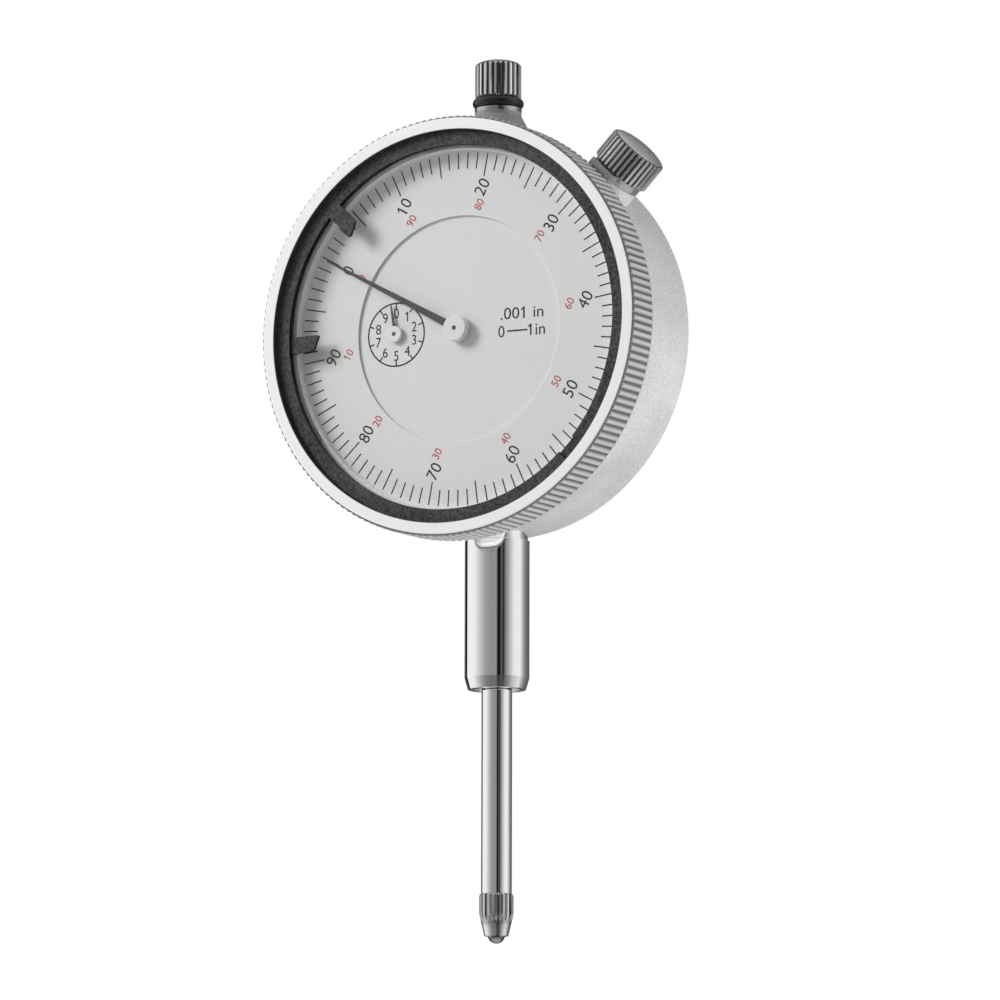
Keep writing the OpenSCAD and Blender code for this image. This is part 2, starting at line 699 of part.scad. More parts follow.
case();
stem();
stem_bush();
top_bush();
back_plate();
back_gasket();
back_screws();
front_plate();
movement_screws();
middle_plate();
bridge_plate();
plate_pillars();
plate_spacers();
plate_screws();
rack_bracket();
bracket_screws();
inner_dial();
guide_rail();
rail_screws();
spring_post();
hairspring_stud();
hairspring();
return_spring();
spindle();
guide_pin();
contact_point();
contact_ball();
lifting_knob();
bumper_ring();
rack_arbor();
rack_pinion();
drive_gear();
counter_drive_gear();
center_pinion();
main_hand();
main_hub();
counter_arbor();
counter_gear();
counter_hand();
counter_hub();
take_up_arbor();
take_up_gear();
bezel();
crystal();
scale_ring();
front_marker();
rear_marker();
clamp_plate();
clamp_knob();
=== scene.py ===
import json
import math

import bmesh
import bpy
from mathutils import Matrix, Vector


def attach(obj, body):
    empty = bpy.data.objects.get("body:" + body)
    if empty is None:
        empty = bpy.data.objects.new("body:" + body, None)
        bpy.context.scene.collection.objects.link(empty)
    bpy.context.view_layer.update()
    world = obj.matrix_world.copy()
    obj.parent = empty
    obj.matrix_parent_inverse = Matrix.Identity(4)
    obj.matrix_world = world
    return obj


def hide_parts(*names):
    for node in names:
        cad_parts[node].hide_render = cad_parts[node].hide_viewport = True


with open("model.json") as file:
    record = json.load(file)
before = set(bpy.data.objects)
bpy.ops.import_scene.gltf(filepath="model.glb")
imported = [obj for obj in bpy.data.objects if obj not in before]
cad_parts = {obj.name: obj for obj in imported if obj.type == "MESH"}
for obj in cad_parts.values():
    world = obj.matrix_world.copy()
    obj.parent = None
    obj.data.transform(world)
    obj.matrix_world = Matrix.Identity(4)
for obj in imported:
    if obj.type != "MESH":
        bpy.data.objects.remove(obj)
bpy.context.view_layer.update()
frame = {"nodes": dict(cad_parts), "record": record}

# Sizes in millimetres. In the dial's plane x is to the right and z is up, from the dial's centre, and
# a height is the distance in front of the scale ring's face. Along the stem and along the clamp's
# screw a height is measured from the dial's centre.
MM = 0.001
DIAL_CENTRE = Vector((0.0, -12.1, 40.0))

# Bezel
BEZEL_R = 30.998
BEZEL_FACE_R = 30.58
BEZEL_FACE = 3.97
BEZEL_BACK_R = 30.7
BEZEL_BACK = -2.3
BEZEL_EDGE = 0.12
FLANGE_R = 30.2
FLANGE_BACK = -2.9
SEAT_R = 28.55
WINDOW_R = 28.93
WINDOW_STEP = 1.45
WALL_R = 26.4
KNURL_COUNT = 174
KNURL_DEPTH = 0.32
KNURL_LAND = 0.36
KNURL_LOW = -2.0
KNURL_HIGH = 3.55

# Bezel clamp, on an axis that leans to the right of the top
CLAMP_ANGLE = math.radians(45.0)
CLAMP_DEPTH = 7.8
CLAMP_HEAD_R = 4.54
CLAMP_HEAD_LOW = 31.95
CLAMP_HEAD_SHOULDER = 36.1
CLAMP_HEAD_DOME = 1.1
CLAMP_FLUTES = 34
CLAMP_LAND = 0.42
CLAMP_SHANK_R = 1.5
CLAMP_SHANK_LOW = 26.2
CLAMP_SHANK_HIGH = 32.2

# Lifting knob
LIFTING_R = 3.45
LIFTING_LOW = 36.35
LIFTING_HEIGHT = 4.75
LIFTING_DOME = 1.048
LIFTING_FLUTES = 26
LIFTING_LAND = 0.4
LIFTING_BORE_R = 1.5
LIFTING_BORE_DEPTH = 3.6
FLUTE_DEPTH = 0.28

# Stem
STEM_R = 4.7625
STEM_TIP_R = 4.2625
STEM_BORE_R = 2.8
STEM_BUSH_R = 3.4
STEM_BUSH_TOP = -43.85
STEM_TIP = -51.85
STEM_CHAMFER_TOP = -50.1
STEM_EDGE = 0.06
SPIGOT_R = 4.5
SPIGOT_LOW = -29.9
SPIGOT_TOP = -27.0

# Contact point, with heights from its shoulder
POINT_TOP = -81.72
POINT_R = 2.53
POINT_FLUTES_LOW = -2.9
POINT_END_R = 1.76
POINT_END = -6.2
POINT_FLUTES = 20
POINT_FLUTE_DEPTH = 0.33
POINT_LAND = 0.22
POINT_CONE_STEPS = 12
SOCKET_R = 1.31
SOCKET_FLOOR = -5.6

# Printing. The scale ring and the inner dial behind it each have their own face.
INK = 0.02
SCALE_FACE = 0.0
INNER_FACE = -0.35
ZERO_ANGLE = 61.29
MARK_COUNT = 100
NUMBER_COUNT = 10
MARK_OUTER_R = 26.1
LONG_MARK_R = 22.71
SHORT_MARK_R = 23.72
MARK_WIDTH = 0.19
NUMBER_R = 21.1
NUMBER_SIZE = 1.9
REVERSE_R = 18.5
REVERSE_SIZE = 1.25
SUBDIAL_CENTRE = (-10.55, 0.0)
SUBDIAL_RING = (4.57, 4.79)
SUBDIAL_MARK = (3.9, 4.65)
SUBDIAL_MARK_WIDTH = 0.2
SUBDIAL_NUMBER_R = 3.15
SUBDIAL_NUMBER_SIZE = 1.5
WORD_SIZE = 1.72
WORD_HEIGHT = 1.7
RANGE_HEIGHT = -0.9
DASH_START = 7.95
DASH_LENGTH = 3.35
DASH_WIDTH = 0.23


# ---------- Places ----------


def place(origin, x_axis, y_axis, z_axis):
    """Matrix from a piece's own axes, in millimetres, to the row frame in metres."""
    matrix = Matrix.Identity(4)
    for column, axis in enumerate((x_axis, y_axis, z_axis)):
        for row in range(3):
            matrix[row][column] = axis[row]
    for row in range(3):
        matrix[row][3] = origin[row]
    return Matrix.Scale(MM, 4) @ matrix


DIAL = place(DIAL_CENTRE, (1, 0, 0), (0, 0, 1), (0, -1, 0))
COUNTER = DIAL @ Matrix.Translation((*SUBDIAL_CENTRE, 0))
STEM = place((0, 0, 40), (1, 0, 0), (0, 1, 0), (0, 0, 1))
CLAMP_DIRECTION = Vector((math.sin(CLAMP_ANGLE), 0, math.cos(CLAMP_ANGLE)))
CLAMP_SIDE = Vector((0, -1, 0)).cross(CLAMP_DIRECTION)
CLAMP = place(DIAL_CENTRE + Vector((0, CLAMP_DEPTH, 0)), CLAMP_SIDE, (0, -1, 0), CLAMP_DIRECTION)


# ---------- Mesh helpers ----------


def piece(name, bm, body, material, nodes=(), sharp=35):
    """A finished object from a bmesh that is already in the row frame."""
    bmesh.ops.remove_doubles(bm, verts=bm.verts, dist=1e-7)
    bmesh.ops.recalc_face_normals(bm, faces=bm.faces)
    mesh = bpy.data.meshes.new(name)
    bm.to_mesh(mesh)
    bm.free()
    mesh.polygons.foreach_set("use_smooth", [True] * len(mesh.polygons))
    mesh.set_sharp_from_angle(angle=math.radians(sharp))
    mesh.materials.append(material)
    obj = bpy.data.objects.new(name, mesh)
    bpy.context.scene.collection.objects.link(obj)
    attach(obj, body)
    if nodes:
        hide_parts(*nodes)


def rounded(points, radius, steps=4):
    """Profile with small arcs for corners. A point beside each arc keeps the long sides flat."""
    result = []
    count = len(points)
    for i, point in enumerate(points):
        here = Vector(point)
        before = Vector(points[i - 1])
        after = Vector(points[(i + 1) % count])
        to_before = before - here
        to_after = after - here
        reach = min(radius, 0.45 * to_before.length, 0.45 * to_after.length)
        if i in (0, count - 1) and here.x < 1e-6:
            result.append((here.x, here.y))
            continue
        start = here + to_before.normalized() * reach
        end = here + to_after.normalized() * reach
        beside = here + to_before.normalized() * reach * 1.1
        result.append((beside.x, beside.y))
        for step in range(steps + 1):
            t = step / steps
            a = start.lerp(here, t)
            b = here.lerp(end, t)
            q = a.lerp(b, t)
            result.append((q.x, q.y))
        beside = here + to_after.normalized() * reach * 1.1
        result.append((beside.x, beside.y))
    return result


def revolve(bm, profile, count, matrix, outline=None, closed=True):
    """Turns a profile of (radius, height) about the local z axis. outline(angle) caps the radius."""
    rings = []
    for i in range(count):
        angle = 2 * math.pi * i / count
        cap = outline(angle) if outline else 1e9
        ring = []
        for radius, height in profile:
            r = min(radius, cap)
            ring.append(bm.verts.new(matrix @ Vector((r * math.cos(angle), r * math.sin(angle), height))))
        rings.append(ring)
    last = len(profile) if closed else len(profile) - 1
    for i in range(count):
        a = rings[i]
        b = rings[(i + 1) % count]
        for k in range(last):
            m = (k + 1) % len(profile)
            bm.faces.new((a[k], b[k], b[m], a[m]))


def flutes(count, radius, depth, land):
    """Outline with rounded grooves between narrow flat lands."""

    def outline(angle):
        t = (angle * count / (2 * math.pi)) % 1.0
        t = abs(t - 0.5) * 2
        if t > 1 - land:
            return radius
        return radius - depth * math.sin(0.5 * math.pi * (1 - t / (1 - land))) ** 0.8

    return outline


def slab(bm, corners, low, high, matrix):
    """A flat closed shape over a convex outline, between two heights."""
    bottom = [bm.verts.new(matrix @ Vector((x, y, low))) for x, y in corners]
    top = [bm.verts.new(matrix @ Vector((x, y, high))) for x, y in corners]
    bm.faces.new(top)
    bm.faces.new(bottom[::-1])
    count = len(corners)
    for i in range(count):
        k = (i + 1) % count
        bm.faces.new((bottom[i], bottom[k], top[k], top[i]))


def bar(bm, inner, outer, angle, width, face, centre=(0.0, 0.0)):
    """A printed straight mark along a radius; the angle is anticlockwise from the right."""
    along = Vector((math.cos(angle), math.sin(angle)))
    side = Vector((-along.y, along.x)) * (width / 2)
    middle = Vector(centre)
    a = middle + along * inner
    b = middle + along * outer
    corners = [a - side, b - side, b + side, a + side]
    slab(bm, [(q.x, q.y) for q in corners], face - INK, face + INK, DIAL)


def glyphs(text, extrude=0.0):
    """Mesh of some characters at size 1, set from the left."""
    curve = bpy.data.curves.new("characters", "FONT")
    curve.body = text
    curve.resolution_u = 4
    curve.extrude = extrude
    holder = bpy.data.objects.new("characters", curve)
    bpy.context.scene.collection.objects.link(holder)
    bpy.context.view_layer.update()
    depsgraph = bpy.context.evaluated_depsgraph_get()
    mesh = bpy.data.meshes.new_from_object(holder.evaluated_get(depsgraph))
    bpy.data.objects.remove(holder)
    bpy.data.curves.remove(curve)
    return mesh


def width_of(mesh):
    """Left and right ends of a mesh."""
    xs = [v.co.x for v in mesh.vertices]
    return min(xs), max(xs)


def height_of(mesh):
    """Lower and upper ends of a mesh."""
    ys = [v.co.y for v in mesh.vertices]
    return min(ys), max(ys)


def lettering(bm, text, size, centre, angle, face, squeeze):
    """Adds generic upright characters, turned anticlockwise by an angle, as a thin printed layer.
    Each 1 gets a slanted flag at its top."""
    low = face - INK
    high = face + INK
    mesh = glyphs(text, 0.5)
    one = glyphs("1")
    one_left, one_right = width_of(one)
    one_top = height_of(one)[1]
    zero_low, zero_high = height_of(glyphs("0"))
    left, right = width_of(mesh)
    scale = size / (zero_high - zero_low)
    turn = Matrix.Rotation(angle, 3, "Z")
    middle_y = one_top / 2

    def spot(x, y):
        flat = turn @ Vector(((x - (left + right) / 2) * scale * squeeze, (y - middle_y) * scale, 0))
        return flat.x + centre[0], flat.y + centre[1]

    for vertex in mesh.vertices:
        x, y = spot(vertex.co.x, vertex.co.y)
        height = high if vertex.co.z > 0 else low
        vertex.co = DIAL @ Vector((x, y, height))
    bm.from_mesh(mesh)
    for i, letter in enumerate(text):
        if letter != "1":
            continue
        stroke = width_of(glyphs(text[: i + 1]))[1] - (one_right - one_left)
        flag = [
            (stroke + 0.05, one_top),
            (stroke + 0.05, one_top - 0.1),
            (stroke - 0.13, one_top - 0.22),
            (stroke - 0.13, one_top - 0.13),
        ]
        slab(bm, [spot(x, y) for x, y in flag][::-1], low, high, DIAL)


def on_circle(radius, angle, centre=(0.0, 0.0)):
    """Point of the dial at a radius and an anticlockwise angle."""
    return centre[0] + radius * math.cos(angle), centre[1] + radius * math.sin(angle)


# ---------- Materials ----------


def new_material(name):
    """An empty node material, with its nodes and links."""
    material = bpy.data.materials.new(name)
    material.use_nodes = True
    return material, material.node_tree.nodes, material.node_tree.links


def set_inputs(node, **values):
    """Sets sockets by name, with underscores for spaces."""
    for key, value in values.items():
        node.inputs[key.replace("_", " ")].default_value = value


def texture_space(nodes, links, stretch=(1.0, 1.0, 1.0)):
    """Object coordinates, stretched so that a noise can run along a machining direction."""
    coords = nodes.new("ShaderNodeTexCoord")
    mapping = nodes.new("ShaderNodeMapping")
    mapping.inputs["Scale"].default_value = stretch
    links.new(coords.outputs["Object"], mapping.inputs["Vector"])
    return mapping.outputs["Vector"]


def axis_distance(nodes, links, point, direction):
    """Distance in millimetres from a turning axis."""
    coords = nodes.new("ShaderNodeTexCoord")
    shift = nodes.new("ShaderNodeVectorMath")
    shift.operation = "SUBTRACT"
    shift.inputs[1].default_value = [v * MM for v in point]
    links.new(coords.outputs["Object"], shift.inputs[0])
    cross = nodes.new("ShaderNodeVectorMath")
    cross.operation = "CROSS_PRODUCT"
    cross.inputs[1].default_value = [v / MM for v in direction]
    links.new(shift.outputs[0], cross.inputs[0])
    length = nodes.new("ShaderNodeVectorMath")
    length.operation = "LENGTH"
    links.new(cross.outputs[0], length.inputs[0])
    return length.outputs["Value"]


def turning_space(nodes, links, distance):
    """Vector for concentric marks that change only a little round the axis."""
    plain = texture_space(nodes, links, (20, 20, 20))
    combine = nodes.new("ShaderNodeCombineXYZ")
    links.new(distance, combine.inputs["X"])
    join = nodes.new("ShaderNodeVectorMath")
    join.operation = "ADD"
    links.new(combine.outputs[0], join.inputs[0])
    links.new(plain, join.inputs[1])
    return join.outputs[0]


def darkened(nodes, links, colour, shade):
    """Multiplies a colour by a grey value."""
    mix = nodes.new("ShaderNodeMix")
    mix.data_type = "RGBA"
    mix.blend_type = "MULTIPLY"
    mix.inputs["Factor"].default_value = 1.0
    links.new(colour, mix.inputs["A"])
    links.new(shade, mix.inputs["B"])
    return mix.outputs["Result"]


def groove_shade(nodes, links, colour, distance, low, high, dark, top=1.0):
    """Painted shade: darkens the floors of knurl grooves, or a recessed wall, which lie between two
    radii, where shade falls. Outside them the colour keeps the share top, which below one paints shade
    over the whole knurl.
    """
    inside = spread(nodes, links, distance, 1.0, dark, (low - 0.1, low - 0.03))
    outside = spread(nodes, links, distance, dark, top, (low, high))
    wider = nodes.new("ShaderNodeMath")
    wider.operation = "MAXIMUM"
    links.new(inside, wider.inputs[0])
    links.new(outside, wider.inputs[1])
    return darkened(nodes, links, colour, wider.outputs[0])


def noise(nodes, links, vector, scale, detail=3.0, rough=0.55):
    """Plain noise over a vector."""
    texture = nodes.new("ShaderNodeTexNoise")
    set_inputs(texture, Scale=scale, Detail=detail, Roughness=rough)
    links.new(vector, texture.inputs["Vector"])
    return texture.outputs["Fac"]


def spread(nodes, links, value, low, high, source=(0.3, 0.7)):
    """Maps a noise to a range of values."""
    mapped = nodes.new("ShaderNodeMapRange")
    set_inputs(mapped, From_Min=source[0], From_Max=source[1], To_Min=low, To_Max=high)
    links.new(value, mapped.inputs["Value"])
    return mapped.outputs["Result"]


def blend_colours(nodes, links, factor, low, high):
    """Colour between two ends, by a factor."""
    mix = nodes.new("ShaderNodeMix")
    mix.data_type = "RGBA"
    mix.inputs["A"].default_value = (*low, 1)
    mix.inputs["B"].default_value = (*high, 1)
    links.new(factor, mix.inputs["Factor"])
    return mix.outputs["Result"]


def above_height(nodes, links, colour, start, end, dark):
    """Darkens a colour above a height in millimetres."""
    plain = texture_space(nodes, links, (1 / MM, 1 / MM, 1 / MM))
    split = nodes.new("ShaderNodeSeparateXYZ")
    links.new(plain, split.inputs[0])
    shade = spread(nodes, links, split.outputs["Z"], 1.0, dark, (start, end))
    return darkened(nodes, links, colour, shade)


def dark_walls(nodes, links, colour):
    """Painted shade: keeps a colour on faces that look along the dial's axis and blackens the walls
    between them, where shade falls.
    """
    coords = nodes.new("ShaderNodeTexCoord")
    split = nodes.new("ShaderNodeSeparateXYZ")
    links.new(coords.outputs["Normal"], split.inputs[0])
    size = nodes.new("ShaderNodeMath")
    size.operation = "ABSOLUTE"
    links.new(split.outputs["Y"], size.inputs[0])
    face = spread(nodes, links, size.outputs[0], 0.0, 1.0, (0.6, 0.95))
    return darkened(nodes, links, colour, face)


def finish_surface(material, nodes, links, colour, rough, height, bump, metallic, **extra):
    """Links colour, roughness and relief to the principled shader. bump holds the relief's strength
    and its depth in millimetres."""
    shader = nodes["Principled BSDF"]
    shader.inputs["Metallic"].default_value = metallic
    set_inputs(shader, **extra)
    links.new(colour, shader.inputs["Base Color"])
    links.new(rough, shader.inputs["Roughness"])
    relief = nodes.new("ShaderNodeBump")
    relief.inputs["Strength"].default_value = bump[0]
    relief.inputs["Distance"].default_value = bump[1] * MM
    links.new(height, relief.inputs["Height"])
    links.new(relief.outputs["Normal"], shader.inputs["Normal"])
    return material


def satin(
    name, low, high, rough, grain, bump=(0.35, 0.01), metallic=1.0, neck=None, walls=False, **extra
):
    """Fine blasted or moulded surface: even grain with a slow change of tone. neck holds the two
    heights between which a darker colour begins, and its share; walls paints shade on a ring's walls by
    blackening them."""
    material, nodes, links = new_material(name)
    space = texture_space(nodes, links)
    fine = noise(nodes, links, space, grain, 4.0, 0.6)
    slow = noise(nodes, links, space, grain * 0.02, 3.0, 0.5)
    tone = nodes.new("ShaderNodeMath")
    tone.operation = "ADD"
    half_fine = spread(nodes, links, fine, 0.0, 0.75)
    half_slow = spread(nodes, links, slow, 0.0, 0.25)
    links.new(half_fine, tone.inputs[0])
    links.new(half_slow, tone.inputs[1])
    colour = blend_colours(nodes, links, tone.outputs[0], low, high)
    if neck:
        colour = above_height(nodes, links, colour, *neck)
    if walls:
        colour = dark_walls(nodes, links, colour)
    shine = spread(nodes, links, slow, *rough)
    return finish_surface(material, nodes, links, colour, shine, fine, bump, metallic, **extra)


def turned_metal(
    name, low, high, rough, lines, axis, grooves=None, metallic=1.0, bump=(0.25, 0.006), wall=None
):
    """Metal turned on a lathe, with concentric marks. grooves and wall each hold two radii with the
    share that the colour keeps between them as painted shade, and grooves may add the share outside them."""
    material, nodes, links = new_material(name)
    distance = axis_distance(nodes, links, axis[0], axis[1])
    rings = noise(nodes, links, turning_space(nodes, links, distance), lines, 3.0, 0.6)
    plain = texture_space(nodes, links)
    slow = noise(nodes, links, plain, 90.0, 3.0, 0.55)
    colour = blend_colours(nodes, links, spread(nodes, links, rings, 0.0, 1.0), low, high)
    if grooves:
        colour = groove_shade(nodes, links, colour, distance, *grooves)
    if wall:
        colour = groove_shade(nodes, links, colour, distance, *wall)
    shine = spread(nodes, links, slow, *rough)
    return finish_surface(material, nodes, links, colour, shine, rings, bump, metallic)


def ground_metal(name, low, high, rough, stretch, scale, bump=(0.12, 0.004), **extra):
    """Ground or polished metal: fine lines in one direction."""
    material, nodes, links = new_material(name)
    space = texture_space(nodes, links, stretch)
    lines = noise(nodes, links, space, scale, 4.0, 0.6)
    plain = texture_space(nodes, links)
    slow = noise(nodes, links, plain, 120.0, 3.0, 0.55)
    colour = blend_colours(nodes, links, spread(nodes, links, lines, 0.0, 1.0), low, high)
    shine = spread(nodes, links, slow, *rough)
    return finish_surface(material, nodes, links, colour, shine, lines, bump, 1.0, **extra)


def grey(value):
    """A neutral colour."""
    return (value, value, value)


DIAL_AXIS = (DIAL_CENTRE, (0, 1, 0))
STEM_AXIS = ((0, 0, 0), (0, 0, 1))
CLAMP_AXIS = (DIAL_CENTRE + Vector((0, CLAMP_DEPTH, 0)), CLAMP_DIRECTION)

case_metal = satin(
    "case metal",
    low=grey(0.44),
    high=grey(0.84),
    rough=(0.34, 0.46),
    grain=3900.0,
    bump=(0.4, 0.014),
    metallic=0.4,
    neck=(69.3, 70.2, 0.42),
)
clamp_plate_metal = satin(
    "clamp plate metal",
    low=grey(0.4),
    high=grey(0.6),
    rough=(0.2, 0.3),
    grain=3000.0,
    bump=(0.3, 0.01),
    metallic=0.8,
)
back_metal = turned_metal(
    "back metal",
    low=grey(0.56),
    high=grey(0.72),
    rough=(0.34, 0.46),
    lines=5.2,
    axis=DIAL_AXIS,
    metallic=0.4,
)
bezel_metal = turned_metal(
    "bezel metal",
    low=grey(0.94),
    high=grey(0.99),
    rough=(0.3, 0.4),
    lines=6.0,
    axis=DIAL_AXIS,
    # Painted shade: the knurl's groove floors are darkened and its lands dimmed below the face's tone.
    grooves=(30.68, 30.95, 0.1, 0.48),
    metallic=0.2,
    # Painted shadow: the wall inside the window, at the gap by the marker ring, is blackened.
    wall=(28.94, 29.05, 0.06),
)
clamp_metal = turned_metal(
    "clamp knob metal",
    low=grey(0.5),
    high=grey(0.7),
    rough=(0.18, 0.28),
    lines=5.0,
    axis=CLAMP_AXIS,
    # Painted shade in the floors of the flutes.
    grooves=(4.28, 4.5, 0.12),
    metallic=0.8,
)
lifting_metal = turned_metal(
    "lifting knob metal",
    low=grey(0.74),
    high=grey(0.9),
    rough=(0.12, 0.2),
    lines=6.0,
    axis=STEM_AXIS,
    # Painted shade in the floors of the flutes.
    grooves=(3.17, 3.43, 0.1),
)
point_metal = turned_metal(
    "contact point metal",
    low=grey(0.74),
    high=grey(0.9),
    rough=(0.12, 0.18),
    lines=6.0,
    axis=STEM_AXIS,
    # Painted shade in the floors of the flutes.
    grooves=(2.22, 2.5, 0.62),
)
hub_metal = turned_metal(
    "hub steel",
    low=grey(0.86),
    high=grey(0.99),
    rough=(0.2, 0.3),
    lines=7.0,
    axis=DIAL_AXIS,
    metallic=0.25,
)
chrome = ground_metal(
    "chrome",
    low=grey(0.92),
    high=grey(0.99),
    rough=(0.04, 0.08),
    stretch=(0.15, 0.15, 1),
    scale=9000.0,
)
dark_chrome = ground_metal(
    "ball chrome",
    low=grey(0.2),
    high=grey(0.34),
    rough=(0.05, 0.1),
    stretch=(1, 1, 0.3),
    scale=6000.0,
)
brass = ground_metal(
    "brass",
    low=(0.62, 0.42, 0.16),
    high=(0.78, 0.56, 0.25),
    rough=(0.22, 0.36),
    stretch=(1, 1, 0.06),
    scale=6000.0,
    bump=(0.2, 0.006),
)
arbor_metal = ground_metal(
    "arbor steel",
    low=grey(0.42),
    high=grey(0.56),
    rough=(0.16, 0.26),
    stretch=(1, 0.1, 1),
    scale=9000.0,
)
screw_metal = satin(
    "screw steel",
    low=grey(0.4),
    high=grey(0.55),
    rough=(0.24, 0.36),
    grain=6000.0,
    bump=(0.2, 0.006),
)
spring_metal = satin(
    "spring steel",
    low=(0.16, 0.19, 0.26),
    high=(0.28, 0.32, 0.4),
    rough=(0.2, 0.3),
    grain=8000.0,
)
hand_paint = satin(
    "hand paint",
    low=grey(0.05),
    high=grey(0.075),
    rough=(0.4, 0.5),
    grain=6000.0,
    bump=(0.15, 0.004),
    metallic=0.0,
)
dial_paint = satin(
    "dial paint",
    low=grey(0.775),
    high=grey(0.805),
    rough=(0.42, 0.55),
    grain=4000.0,
    bump=(0.03, 0.002),
    metallic=0.0,
)
# Black print, also used for the painted shade in the hub gaps.
black_print_and_shade = satin(
    "black print and shade",
    low=grey(0.008),
    high=grey(0.014),
    rough=(0.45, 0.6),
    grain=8000.0,
    bump=(0.1, 0.003),
    metallic=0.0,
)
print_red = satin(
    "red print",
    low=(0.46, 0.025, 0.035),
    high=(0.56, 0.045, 0.055),
    rough=(0.45, 0.6),
    grain=8000.0,
    bump=(0.1, 0.003),
    metallic=0.0,
)
marker_plastic = satin(
    "marker plastic",
    low=grey(0.002),
    high=grey(0.115),
    rough=(0.4, 0.55),
    grain=2700.0,
    bump=(0.6, 0.03),
    metallic=0.0,
    # Painted shade: the ring's side walls are blackened.
    walls=True,
    Specular_IOR_Level=0.25,
)
rubber = satin(
    "black rubber",
    low=grey(0.006),
    high=grey(0.012),
    rough=(0.12, 0.2),
    grain=4000.0,
    bump=(0.12, 0.006),
    metallic=0.0,
)
gasket_rubber = satin(
    "gasket rubber",
    low=grey(0.02),
    high=grey(0.03),
    rough=(0.6, 0.7),
    grain=4000.0,
    bump=(0.3, 0.01),
    metallic=0.0,
)
crystal_clear = satin(
    "crystal",
    low=grey(0.3),
    high=grey(0.36),
    rough=(0.02, 0.05),
    grain=400.0,
    bump=(0.02, 0.002),
    metallic=0.0,
    Alpha=0.05,
)

SLOT_MATERIALS = {
    "case_aluminium": case_metal,
    "back_aluminium": back_metal,
    "bezel_aluminium": bezel_metal,
    "knob_steel": clamp_metal,
    "chrome": chrome,
    "brass": brass,
    "arbor_steel": arbor_metal,
    "screw_steel": screw_metal,
    "spring_steel": spring_metal,
    "hub_steel": hub_metal,
    "hand_paint": hand_paint,
    "dial_paint": dial_paint,
    "crystal": crystal_clear,
    "black_plastic": marker_plastic,
    "black_rubber": rubber,
}
NODE_MATERIALS = {
    "contact_ball": dark_chrome,
    "back_gasket": gasket_rubber,
    "clamp_plate": clamp_plate_metal,
}

for entry in frame["record"]["subparts"]:
    name = entry["node"]
    target = frame["nodes"][name]
    material = NODE_MATERIALS.get(name, SLOT_MATERIALS.get(entry.get("material_slot"), arbor_metal))
    target.data.materials.clear()
    target.data.materials.append(material)


# ---------- Bezel ----------


def bezel_ring():
    """Knurled ring with a step for the crystal and a flange that the clamp holds."""
    profile = rounded(
        [
            (WINDOW_R, BEZEL_FACE),
            (BEZEL_FACE_R, BEZEL_FACE),
            (BEZEL_R, KNURL_HIGH),
            (BEZEL_R, KNURL_LOW),
            (BEZEL_BACK_R, BEZEL_BACK),
            (FLANGE_R, BEZEL_BACK),
            (FLANGE_R, FLANGE_BACK),
            (SEAT_R, FLANGE_BACK),
            (SEAT_R, SCALE_FACE),
            (WALL_R, SCALE_FACE),
            (WALL_R, WINDOW_STEP),
            (WINDOW_R, WINDOW_STEP),
        ],
        BEZEL_EDGE,
    )
    bm = bmesh.new()
    knurl = flutes(KNURL_COUNT, BEZEL_R, KNURL_DEPTH, KNURL_LAND)
    revolve(bm, profile, KNURL_COUNT * 8, DIAL, knurl)
    piece("bezel_ring", bm, "bezel", bezel_metal, ("bezel",), 40)


# ---------- Knobs ----------


def knob_profile(radius, low, shoulder, dome, inner):
    """Outline of a round head with small rounded edges and a domed end."""
    edge = 0.2
    points = [(inner, low), (radius - edge, low), (radius, low + edge), (radius, shoulder)]
    steps = 24
    for step in range(1, steps + 1):
        t = math.radians(90 * step / steps)
        points.append((radius * math.cos(t), shoulder + dome * math.sin(t)))
    return points


def clamp_knob_head():
    """Fluted thumb screw with its shank."""
    head = knob_profile(CLAMP_HEAD_R, CLAMP_HEAD_LOW, CLAMP_HEAD_SHOULDER, CLAMP_HEAD_DOME, 0.01)
    head = [(0.0, CLAMP_HEAD_LOW)] + head
    shank = [
        (0.0, CLAMP_SHANK_LOW),
        (CLAMP_SHANK_R, CLAMP_SHANK_LOW),
        (CLAMP_SHANK_R, CLAMP_SHANK_HIGH),
        (0.0, CLAMP_SHANK_HIGH),
    ]
    bm = bmesh.new()
    outline = flutes(CLAMP_FLUTES, CLAMP_HEAD_R, FLUTE_DEPTH, CLAMP_LAND)
    revolve(bm, head, CLAMP_FLUTES * 10, CLAMP, outline, False)
    revolve(bm, shank, 64, CLAMP, None, False)
    piece("clamp_knob_head", bm, "clamp_knob", clamp_metal, ("clamp_knob",), 30)


def lifting_knob_head():
    """Fluted cap, bored from below for the spindle's end."""
    shoulder = LIFTING_LOW + LIFTING_HEIGHT
    bore_top = LIFTING_LOW + LIFTING_BORE_DEPTH
    head = knob_profile(LIFTING_R, LIFTING_LOW, shoulder, LIFTING_DOME, LIFTING_BORE_R)
    head = head + [(0.0, bore_top), (LIFTING_BORE_R, bore_top)]
    bm = bmesh.new()
    outline = flutes(LIFTING_FLUTES, LIFTING_R, FLUTE_DEPTH, LIFTING_LAND)
    revolve(bm, head, LIFTING_FLUTES * 12, STEM, outline)
    piece("lifting_knob_head", bm, "spindle", lifting_metal, ("lifting_knob",), 30)


# ---------- Stem ----------


